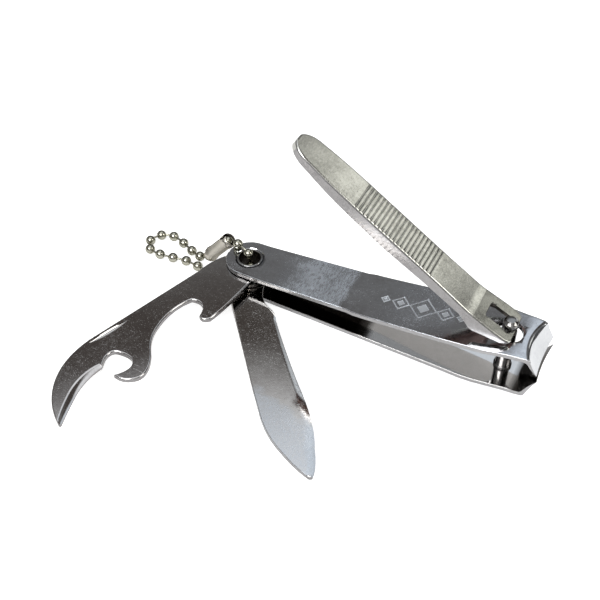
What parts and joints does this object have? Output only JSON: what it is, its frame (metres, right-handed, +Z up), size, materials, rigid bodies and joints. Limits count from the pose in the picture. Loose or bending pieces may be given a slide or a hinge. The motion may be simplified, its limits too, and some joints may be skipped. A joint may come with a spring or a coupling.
{
  "type": "nail clipper with folding tools",
  "caption": "Large chromed nail clipper with a raised file lever, a folding bottle and can opener, a folding knife and a bead chain.",
  "frame": {"origin": "centre of the flat underside of the pivot post's foot, which rests on the floor", "axes": "+Z up along the pivot post, +X towards the jaws, -X towards the eyelet and the chain, -Y the side the tools are folded out to"},
  "size_m": [0.1028, 0.0667, 0.0492],
  "materials": {
    "chrome_leaf": "mirror polished plating with fine scratches",
    "bright_fastener": "bright plated",
    "satin_nickel_lever": "satin, slightly warm",
    "polished_tool_steel": "polished with pits and scratches",
    "nickel_chain": "polished warm nickel"
  },
  "bodies": {
    "frame": {"lower_jaw_leaf": "chrome_leaf", "rivet_eyelet": "bright_fastener", "spacer_washer": "bright_fastener"},
    "upper": {"upper_jaw_leaf": "chrome_leaf"},
    "post": {"pivot_post": "bright_fastener"},
    "lever": {"press_lever": "satin_nickel_lever"},
    "opener": {"bottle_can_opener": "polished_tool_steel"},
    "knife": {"knife_blade": "polished_tool_steel"},
    "chain": {"chain_connector": "nickel_chain", "chain_ball_01": "nickel_chain", "chain_ball_02": "nickel_chain", "chain_ball_03": "nickel_chain", "chain_ball_04": "nickel_chain", "chain_ball_05": "nickel_chain", "chain_ball_06": "nickel_chain", "chain_ball_07": "nickel_chain", "chain_ball_08": "nickel_chain", "chain_ball_09": "nickel_chain", "chain_ball_10": "nickel_chain", "chain_ball_11": "nickel_chain", "chain_ball_12": "nickel_chain", "chain_ball_13": "nickel_chain", "chain_ball_14": "nickel_chain", "chain_ball_15": "nickel_chain", "chain_ball_16": "nickel_chain", "chain_ball_17": "nickel_chain", "chain_ball_18": "nickel_chain", "chain_ball_19": "nickel_chain", "chain_ball_20": "nickel_chain", "chain_link_01": "nickel_chain", "chain_link_02": "nickel_chain", "chain_link_03": "nickel_chain", "chain_link_04": "nickel_chain", "chain_link_05": "nickel_chain", "chain_link_06": "nickel_chain", "chain_link_07": "nickel_chain", "chain_link_08": "nickel_chain", "chain_link_09": "nickel_chain", "chain_link_10": "nickel_chain", "chain_link_11": "nickel_chain", "chain_link_12": "nickel_chain", "chain_link_13": "nickel_chain", "chain_link_14": "nickel_chain", "chain_link_15": "nickel_chain", "chain_link_16": "nickel_chain", "chain_link_17": "nickel_chain", "chain_link_18": "nickel_chain", "chain_link_19": "nickel_chain"}
  },
  "joints": [
    {"name": "jaw_close", "type": "hinge", "parent": "frame", "child": "upper", "pos_m": [-0.0628, 0, 0.0067], "axis": [0, 1, 0], "range_deg": [0, 1.5], "stiffness_Nm_per_rad": 0.5},
    {"name": "pin_swivel", "type": "hinge", "parent": "frame", "child": "post", "pos_m": [0, 0, 0.0067], "axis": [0, 0, 1], "continuous": true},
    {"name": "lever_press", "type": "hinge", "parent": "post", "child": "lever", "pos_m": [0.001, 0, 0.01335], "axis": [0, 1, 0], "range_deg": [-20.8, 0]},
    {"name": "opener_swing", "type": "hinge", "parent": "frame", "child": "opener", "pos_m": [-0.0628, 0, 0.0053], "axis": [0, 0, 1], "range_deg": [-25, 107]},
    {"name": "knife_swing", "type": "hinge", "parent": "frame", "child": "knife", "pos_m": [-0.0628, 0, 0.0028], "axis": [0, 0, 1], "range_deg": [-70, 52.5]},
    {"name": "chain_swing", "type": "hinge", "parent": "frame", "child": "chain", "pos_m": [-0.0628, 0, 0.0039], "axis": [0, 0, 1], "range_deg": [-55, 12]}
  ],
  "couplings": [
    {"joint": "jaw_close", "follows": "lever_press", "ratio": -0.0638}
  ]
}
